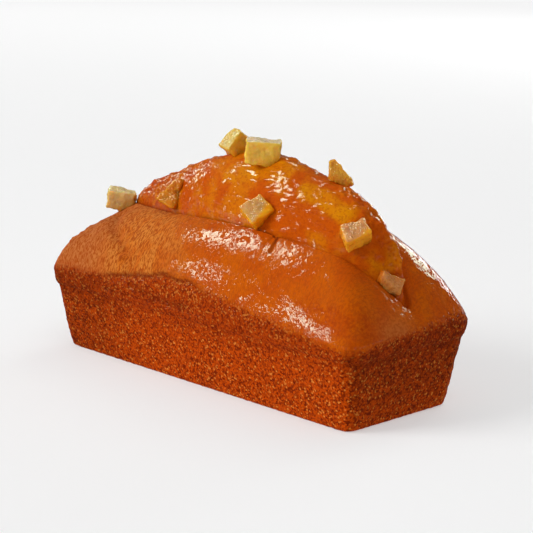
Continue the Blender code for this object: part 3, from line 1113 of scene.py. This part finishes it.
    def inside_tear(self, places: np.ndarray) -> np.ndarray:
        """Return how far inside the torn edge every place is, seen from above.

        Args:
            places: The places, in millimetres.

        Returns:
            The distance to the edge, positive over the crumb.
        """
        outline = self.torn_outline()[:, :2]
        ahead = np.roll(outline, -1, axis=0)
        result = np.full(len(places), self.far_outside)
        rows = np.flatnonzero(places[:, 2] > self.lowest_torn)
        for block in np.array_split(rows, max(1, len(rows) // self.block_size)):
            spots = places[block, :2]
            gap = spots[:, None, :] - outline[None, :, :]
            near = np.sqrt((gap ** 2).sum(axis=2).min(axis=1))
            above = (outline[:, 1] > spots[:, 1:2]) != (ahead[:, 1] > spots[:, 1:2])
            rise = ahead[:, 1] - outline[:, 1]
            rise = np.where(rise == 0.0, self.tiny, rise)
            cross = outline[:, 0] + (spots[:, 1:2] - outline[:, 1]) / rise * (ahead - outline)[:, 0]
            inside = (above & (spots[:, 0:1] < cross)).sum(axis=1) % 2 == 1
            result[block] = np.where(inside, near, -near)
        return result

    def grain_line(self, places: np.ndarray) -> np.ndarray:
        """Return how high the grainy, tin-baked crust reaches at every place.

        Args:
            places: The places, in millimetres.

        Returns:
            The height of the line, in millimetres.
        """
        x, y = places[:, 0], places[:, 1]
        spots, heights = np.array(self.rim_heights).T
        along_side = np.interp(np.where(y < 0.0, x, -x), spots, heights)
        along_end = self.end_rim_height + self.end_rim_slope * y * np.sign(x)
        at_end = self.near_end.of(np.abs(x)) * (1.0 - self.end_sides.of(np.abs(y)))
        line = along_side * (1.0 - at_end) + along_end * at_end
        return line + self.rim_wander.at(places)

    def relax(self, piece: bpy.types.Object) -> None:
        """Smooth the flaps and the crumb, and not the narrow crack between them.

        Args:
            piece: The loaf's fine skin.
        """
        middles, _ = Hand.face_data(piece)
        inside = self.inside_tear(middles)
        crack = (np.abs(inside) < self.crack_reach) & (middles[:, 0] < self.valley_from)
        Hand.pick_faces(piece, (middles[:, 2] > self.wall_top) & ~crack)
        bpy.ops.mesh.vertices_smooth(factor=SMOOTH_FACTOR, repeat=self.relax_turns)
        bpy.ops.object.mode_set(mode="OBJECT")
        tip = (np.abs(inside) < self.tip_reach) & (middles[:, 0] > self.tip_from)
        Hand.pick_faces(piece, tip)
        bpy.ops.mesh.vertices_smooth(factor=SMOOTH_FACTOR, repeat=self.tip_turns)
        bpy.ops.object.mode_set(mode="OBJECT")

    def carve(self, piece: bpy.types.Object) -> None:
        """Push the skin in along its creases and roughen it.

        Args:
            piece: The loaf's fine skin.
        """
        places = Hand.places(piece)
        normals = Hand.normals(piece)
        z = places[:, 2]
        inside = self.inside_tear(places)
        over_line = z - self.grain_line(places)
        grainy = self.grain_edge.of(-over_line) * self.grain_foot.of(z)
        push = self.grain_depth * grainy * (heaped(places, self.grain_bumps) - self.grain_sink)
        push -= self.fold_window(places) * (self.upper_fold.of(over_line) + self.lower_fold.of(z))
        push -= heaped(places, self.creases)
        push += self.hip.at(places) * heaped(places, self.hip_bumps)
        push += self.crust_bumps.at(places) * (z > self.wall_top)
        push += self.crumb_rise.of(inside) * heaped(places, self.crags) * self.cragginess(places)
        push += self.wrinkles(places) * self.wrinkle_bumps.at(places)
        low, high = (np.array(corner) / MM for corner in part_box("loaf"))
        Hand.put(piece, np.clip(places + normals * push[:, None], low, high))

    def fold_window(self, places: np.ndarray) -> np.ndarray:
        """Return 1 where the flap folds over the long front wall, 0 elsewhere."""
        x, y, _ = places.T
        return self.fold_start.of(x) * (1.0 - self.fold_end.of(x)) * (y < 0.0)

    def cragginess(self, places: np.ndarray) -> np.ndarray:
        """Return how craggy the crumb is: most at its ends and at the back.

        Args:
            places: The places, in millimetres.

        Returns:
            The share of the crags' full height at every place.
        """
        x, y, _ = places.T
        ends = np.maximum(self.crag_crest.at(places), self.crag_left.of(-x))
        return self.crag_least + self.crag_gain * np.maximum(ends, self.crag_far.of(y))

    def wetness(self, places: np.ndarray, inside: np.ndarray, crumb: np.ndarray) -> np.ndarray:
        """Return how much syrup lies on the smooth crust and on the crumb.

        Args:
            places: The places, in millimetres.
            inside: How far inside the torn edge they are.
            crumb: 1 over the crumb, 0 beside it.

        Returns:
            1 under a closed film, about a half where it has gaps, 0 where it is dry.
        """
        x, y, _ = places.T
        flap = self.lace - self.smooth_flap.at(places) + self.far_lace.of(y - self.far_tilt * x)
        flap += self.glazed_foot.at(places) - self.dry_belly.at(places)
        pooled = (1.0 - self.pool_edge.of(inside)) * self.pool_start.of(x) * (1.0 - self.pool_end.of(x))
        lit = self.ridge_gain * np.maximum(self.ridge.at(places), self.far_dome.of(y))
        lit = np.maximum(lit, self.pool_gain * pooled)
        dome = self.calm + np.maximum(lit, self.left_dome.of(-x))
        return np.clip(flap * (1.0 - crumb) + dome * crumb, 0.0, 1.0)

    def wrinkles(self, places: np.ndarray) -> np.ndarray:
        """Return 1 where the film is most wrinkled, near 0 where it lies smooth."""
        smooth = strongest(places, self.smooth_marks)
        return np.clip(1.0 - self.smooth_share * smooth, self.least_wrinkled, 1.0)

    def paint_regions(self, piece: bpy.types.Object) -> None:
        """Paint the masks that the crust's material reads.

        Args:
            piece: The carved loaf.
        """
        places = Hand.places(piece)
        x, y, z = places.T
        inside = self.inside_tear(places)
        over_line = z - self.grain_line(places)
        speckle = self.speckle.at(places)
        border = (over_line + self.border_speckle * speckle) / self.grain_border
        grainy = np.clip(0.5 - border, 0.0, 1.0)
        crumb = self.crumb_edge.of(inside + self.crumb_speckle * speckle)
        limit = self.dry_until - self.dry_slant * np.maximum(z - self.dry_height, 0.0)
        from_limit = x - limit + heaped(places, self.ragged)
        wet = np.maximum(self.wet_start.of(from_limit), crumb) * self.wetness(places, inside, crumb)
        tan = (1.0 - self.tan_end.of(from_limit)) * (1.0 - crumb)
        corner = self.dull_corner.at(places)
        wet *= (1.0 - self.grain_dries.of(grainy)) * (1.0 - self.dull_dries * corner)
        # Painted shade in the crevice, the creases and the fold.
        shade = self.crack.of(inside) * (self.crack_shade_share - self.crack_shade_ends.of(x))
        shade = np.maximum(shade, strongest(places, self.shades))
        shade = np.maximum(shade, self.fold_window(places) * self.fold_shade.of(over_line))
        # Amber crumb, and a painted lighter patch at its right end.
        amber = self.amber_edge.of(strongest(places, self.ambers_and_light) + self.amber_ragged.at(places))
        # Darker crust on the crumb and flaps, and painted shade on the walls towards the left end and on the
        # far end wall, less near its top.
        end_share = self.end_wall_shade_share - self.end_wall_shade_top.of(z)
        deep = np.maximum(strongest(places, (self.deep_crest, self.deep_flap)), self.deep_dome.of(-x) * crumb)
        deep = np.maximum(deep, self.left_wall_shade.of(-x) * grainy)
        deep = np.maximum(deep, self.end_wall_shade.of(x) * end_share * grainy)
        drawn = np.maximum(crumb * self.drawn_start.of(x), self.drawn_far.of(y - self.far_tilt * x))
        for region, values in (
            (Region.GRAINY, grainy),
            (Region.CRUMB, crumb),
            (Region.WET, wet * (1.0 - shade)),
            (Region.MATTE, tan),
            (Region.SHADE, shade),
            (Region.WRINKLED, self.wrinkles(places)),
            (Region.DRAWN, drawn),
            (Region.AMBER, amber * crumb),
            (Region.DEEP, np.clip(deep * (1.0 + self.deep_ragged.at(places)), 0.0, 1.0)),
            # Dull at the far corner, and a painted sheen on the left end.
            (Region.DULL, np.maximum(corner, self.left_sheen.of(-x) * (1.0 - crumb))),
        ):
            Hand.paint(piece, region.value, values)


@dataclass(frozen=True)
class PeelLook:
    """How one piece of peel looks: the way its rind faces, and its two tints."""

    rind_faces: Point
    rind: Colour = (0.70, 0.46, 0.16)
    flesh: Colour = (0.74, 0.32, 0.02)
    flesh_side: Point = (0.0, 0.0, 0.0)


@dataclass
class CandiedPeel:
    """The diced peel on the loaf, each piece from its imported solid."""

    nodes: dict[str, bpy.types.Object]
    loaf: bpy.types.Object
    finish: PeelFinish = field(default_factory=PeelFinish)
    skin_pitch: float = 0.32
    edge_turns: int = 7
    bumps: tuple[Bumps, ...] = (Bumps(0.72, 4.2, 0.0), Bumps(0.34, 1.6, 3.0))
    shrink: float = 0.1
    sink: float = 0.55
    sink_reach: float = 1.21
    rind_edge: Fade = Fade(0.55, 0.85)
    flesh_edge: Fade = Fade(0.2, 2.2)
    # Towards the crust each piece is tinted darker and more orange: painted bounce light and shade from the
    # crust, and partly syrup at its foot.
    syrup_and_bounce_edge: Fade = Fade(0.5, 4.0)
    syrup_and_bounce: Colour = (0.95, 0.68, 0.30)
    looks: dict[str, PeelLook] = field(default_factory=lambda: {
        "candied_peel_01": PeelLook((0.13, -0.15, 0.97), (0.74, 0.56, 0.26), (0.76, 0.52, 0.20)),
        "candied_peel_02": PeelLook((0.48, -0.75, 0.45), (0.66, 0.25, 0.02), (0.68, 0.24, 0.005)),
        "candied_peel_03": PeelLook((-0.22, -0.72, 0.64), (0.72, 0.48, 0.10), (0.74, 0.42, 0.04)),
        "candied_peel_04": PeelLook((0.05, -0.10, 0.99), (0.82, 0.64, 0.40), (0.88, 0.56, 0.09)),
        "candied_peel_05": PeelLook(
            (0.40, -0.77, 0.50), (0.66, 0.36, 0.12), (0.92, 0.40, 0.01), (0.55, 0.58, -0.60)
        ),
        "candied_peel_06": PeelLook((0.63, -0.61, 0.28), (0.68, 0.34, 0.04), (0.68, 0.32, 0.03)),
        "candied_peel_07": PeelLook(
            (0.42, -0.50, 0.72), (0.68, 0.33, 0.12), (0.80, 0.34, 0.02), (0.55, 0.58, -0.60)
        ),
        "candied_peel_08": PeelLook((0.82, -0.45, 0.30), (0.64, 0.27, 0.075), (0.54, 0.18, 0.02)),
        "candied_peel_09": PeelLook((-0.20, 0.80, 0.60)),
        "candied_peel_10": PeelLook((0.05, 0.85, 0.50)),
        "candied_peel_11": PeelLook((-0.10, 0.72, 0.68)),
    })

    def build(self) -> list[bpy.types.Object]:
        """Return every piece of peel, finished.

        Returns:
            The pieces, in the order of their names.
        """
        skin = self.loaf.data
        tree = BVHTree.FromPolygons(
            [vertex.co for vertex in skin.vertices], [tuple(face.vertices) for face in skin.polygons]
        )
        material = self.finish.material()
        return [self.piece(name, look, tree, material) for name, look in self.looks.items()]

    def piece(
        self, name: str, look: PeelLook, crust: BVHTree, material: bpy.types.Material
    ) -> bpy.types.Object:
        """Return one piece of peel.

        Args:
            name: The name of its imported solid.
            look: How it looks.
            crust: The loaf's surface, which the piece sinks into a little.
            material: The peel's material.

        Returns:
            The finished piece.
        """
        piece = Hand.copy_of(self.nodes[name], name.replace("candied", "diced"))
        Hand.apply(piece, "REMESH", {"mode": "VOXEL", "voxel_size": self.skin_pitch * MM})
        Hand.apply(piece, "SMOOTH", {"factor": SMOOTH_FACTOR, "iterations": self.edge_turns})
        places = Hand.places(piece)
        normals = Hand.normals(piece)
        seed = float(sum(name.encode()))
        bumps = [Bumps(layer.height, layer.size, seed + layer.seed) for layer in self.bumps]
        places = places + normals * (heaped(places, bumps) - self.shrink)[:, None]
        gaps = np.empty(len(places))
        for row, place in enumerate(places):
            _, normal, _, gap = crust.find_nearest(Vector(place) * MM)
            gaps[row] = gap / MM
            if gaps[row] < self.sink_reach:
                places[row] -= np.array(normal) * self.sink
        Hand.put(piece, places)
        rind = self.rind_edge.of(normals @ np.array(Vector(look.rind_faces).normalized()))
        rind *= 1.0 - self.flesh_edge.of((places - places.mean(axis=0)) @ np.array(look.flesh_side))
        flesh = np.array(look.flesh)
        tint = flesh + (np.array(look.rind) - flesh) * rind[:, None]
        # Painted bounce light and shade from the crust, and partly syrup at the foot.
        syrup_and_bounce_share = (1.0 - self.syrup_and_bounce_edge.of(gaps))[:, None] * (1.0 - np.array(self.syrup_and_bounce))
        Hand.paint(piece, "rind", rind)
        Hand.paint(piece, "tint", tint * (1.0 - syrup_and_bounce_share))
        Hand.hold(piece)
        bpy.ops.object.shade_smooth()
        piece.data.materials.append(material)
        return piece


class Role(Enum):
    """What a light is for: highlights, the form's light and shade, or both."""

    GLOSS = "gloss"
    FORM = "form"
    BOTH = "both"


@dataclass(frozen=True)
class Softbox:
    """One soft studio light, aimed at the middle of the cake."""

    name: str
    azimuth: float
    elevation: float
    width: float
    height: float
    power: float
    role: Role


@dataclass
class Studio:
    """The plain pale floor, the soft light and the camera."""

    finish: BackdropFinish = field(default_factory=BackdropFinish)
    floor_size: float = 9.0
    aim: Point = (0.0, 0.0, 45.0)
    ambient: float = 0.06
    horizon_glow: float = 0.75
    band: Span = (-0.06, 0.14)
    band_full: Span = (0.35, 0.55)
    pane_tint: Colour = (0.78, 1.0, 0.80)
    sun_power: float = 0.95
    sun_spread: float = 120.0
    azimuth: float = 46.0
    elevation: float = 12.303
    roll: float = 0.81
    distance: float = 653.3
    target_across: float = 7.36
    target_height: float = 45.06
    lens: float = 107.99
    sensor: float = 36.0
    nearest_seen: float = 0.01
    light_distance: float = 2.5
    lights: tuple[Softbox, ...] = (
        Softbox("pane_high", -156.0, 45.0, 1.00, 0.78, 33.0, Role.GLOSS),
        Softbox("pane_low", -131.0, 15.0, 0.50, 0.30, 7.0, Role.GLOSS),
        Softbox("back", 150.0, 48.0, 0.80, 0.36, 12.0, Role.GLOSS),
        Softbox("rim", 98.0, 15.0, 1.2, 0.4, 13.0, Role.BOTH),
        Softbox("rim_high", 92.0, 29.0, 1.5, 0.44, 21.0, Role.GLOSS),
        Softbox("low_left", 176.0, 18.0, 1.1, 0.24, 9.0, Role.GLOSS),
        Softbox("key", -118.0, 30.0, 1.2, 1.2, 39.0, Role.FORM),
        Softbox("top", 105.0, 55.0, 1.0, 1.0, 5.0, Role.FORM),
        Softbox("fill", -20.0, 60.0, 1.0, 1.0, 6.5, Role.FORM),
    )

    def build(self) -> None:
        """Add the floor, the lights and the camera."""
        self.add_floor()
        self.add_world()
        self.add_sun()
        for light in self.lights:
            self.add_light(light)
        self.add_camera()

    def add_floor(self) -> None:
        """Lay the pale paper that the cake stands on."""
        bpy.ops.object.select_all(action="DESELECT")
        bpy.ops.mesh.primitive_plane_add(size=self.floor_size)
        floor = bpy.context.object
        floor.name = "studio_floor"
        floor.data.materials.append(self.finish.material())
        floor.visible_glossy = False

    def add_world(self) -> None:
        """Fill the room with a dim light that is pale near the horizon."""
        world = bpy.data.worlds.new("studio")
        world.use_nodes = True
        tree = world.node_tree
        sky = tree.nodes["Background"]
        seen = tree.nodes.new("ShaderNodeTexCoord")
        split = tree.nodes.new("ShaderNodeSeparateXYZ")
        band = tree.nodes.new("ShaderNodeMapRange")
        band.inputs["From Min"].default_value, band.inputs["From Max"].default_value = self.band
        fade = tree.nodes.new("ShaderNodeValToRGB")
        fade.color_ramp.interpolation = "EASE"
        full_from, full_to = self.band_full
        stops = (
            (0.0, self.ambient), (full_from, self.horizon_glow),
            (full_to, self.horizon_glow), (1.0, self.ambient),
        )
        for _ in self.band_full:
            fade.color_ramp.elements.new(0.5)
        for stop, (place, strength) in zip(fade.color_ramp.elements, stops):
            stop.position = place
            stop.color = (strength, strength, strength, 1.0)
        tree.links.new(seen.outputs["Generated"], split.inputs[0])
        tree.links.new(split.outputs["Z"], band.inputs["Value"])
        tree.links.new(band.outputs[0], fade.inputs[0])
        tree.links.new(fade.outputs[0], sky.inputs["Color"])
        bpy.context.scene.world = world
        bpy.context.scene.view_settings.view_transform = "Standard"

    def add_sun(self) -> None:
        """Hang a very wide overhead light that only fills the shadows."""
        lamp = bpy.data.lights.new("overhead", "SUN")
        lamp.energy = self.sun_power
        lamp.angle = math.radians(self.sun_spread)
        holder = bpy.data.objects.new("overhead", lamp)
        holder.visible_glossy = False
        bpy.context.scene.collection.objects.link(holder)

    def add_light(self, box: Softbox) -> None:
        """Hang one softbox.

        Args:
            box: The light's place, size and power.
        """
        lamp = bpy.data.lights.new(box.name, "AREA")
        lamp.shape = "RECTANGLE"
        lamp.size = box.width
        lamp.size_y = box.height
        lamp.energy = box.power
        if box.role is Role.GLOSS:
            lamp.color = self.pane_tint
        aim = Vector(self.aim) * MM
        turn, tilt = math.radians(box.azimuth), math.radians(box.elevation)
        away = Vector((math.cos(turn) * math.cos(tilt), math.sin(turn) * math.cos(tilt), math.sin(tilt)))
        holder = bpy.data.objects.new(box.name, lamp)
        holder.location = aim + away * self.light_distance
        holder.rotation_euler = away.to_track_quat("Z", "Y").to_euler()
        holder.visible_glossy = box.role is not Role.FORM
        holder.visible_diffuse = box.role is not Role.GLOSS
        bpy.context.scene.collection.objects.link(holder)

    def add_camera(self) -> None:
        """Set the camera at the photograph's viewing angle."""
        turn, tilt, roll = (math.radians(angle) for angle in (self.azimuth, self.elevation, self.roll))
        back = Vector((math.sin(turn) * math.cos(tilt), -math.cos(turn) * math.cos(tilt), math.sin(tilt)))
        level = Vector((math.cos(turn), math.sin(turn), 0.0))
        upright = back.cross(level)
        right = level * math.cos(roll) + upright * math.sin(roll)
        up = upright * math.cos(roll) - level * math.sin(roll)
        target = level * self.target_across + Vector((0.0, 0.0, self.target_height))
        lens = bpy.data.cameras.new("camera")
        lens.lens = self.lens
        lens.sensor_width = self.sensor
        lens.clip_start = self.nearest_seen
        camera = bpy.data.objects.new("camera", lens)
        pose = Matrix((right, up, back)).transposed().to_4x4()
        pose.translation = (target + back * self.distance) * MM
        camera.matrix_world = pose
        bpy.context.scene.collection.objects.link(camera)
        bpy.context.scene.camera = camera


def main(nodes: dict[str, bpy.types.Object]) -> None:
    """Build the cake, its peel and the studio, in that order.

    Args:
        nodes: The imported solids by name.
    """
    loaf = Loaf(nodes["loaf"]).build()
    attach(loaf, "root")
    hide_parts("loaf")
    LOG.info("%s: %d faces", loaf.name, len(loaf.data.polygons))
    for piece in CandiedPeel(nodes, loaf).build():
        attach(piece, "root")
        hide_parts(piece.name.replace("diced", "candied"))
        LOG.info("%s: %d faces", piece.name, len(piece.data.polygons))
    Studio().build()


if __name__ == "__main__":
    logging.basicConfig(level=logging.INFO, format="%(message)s")
    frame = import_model()
    main(frame["nodes"])
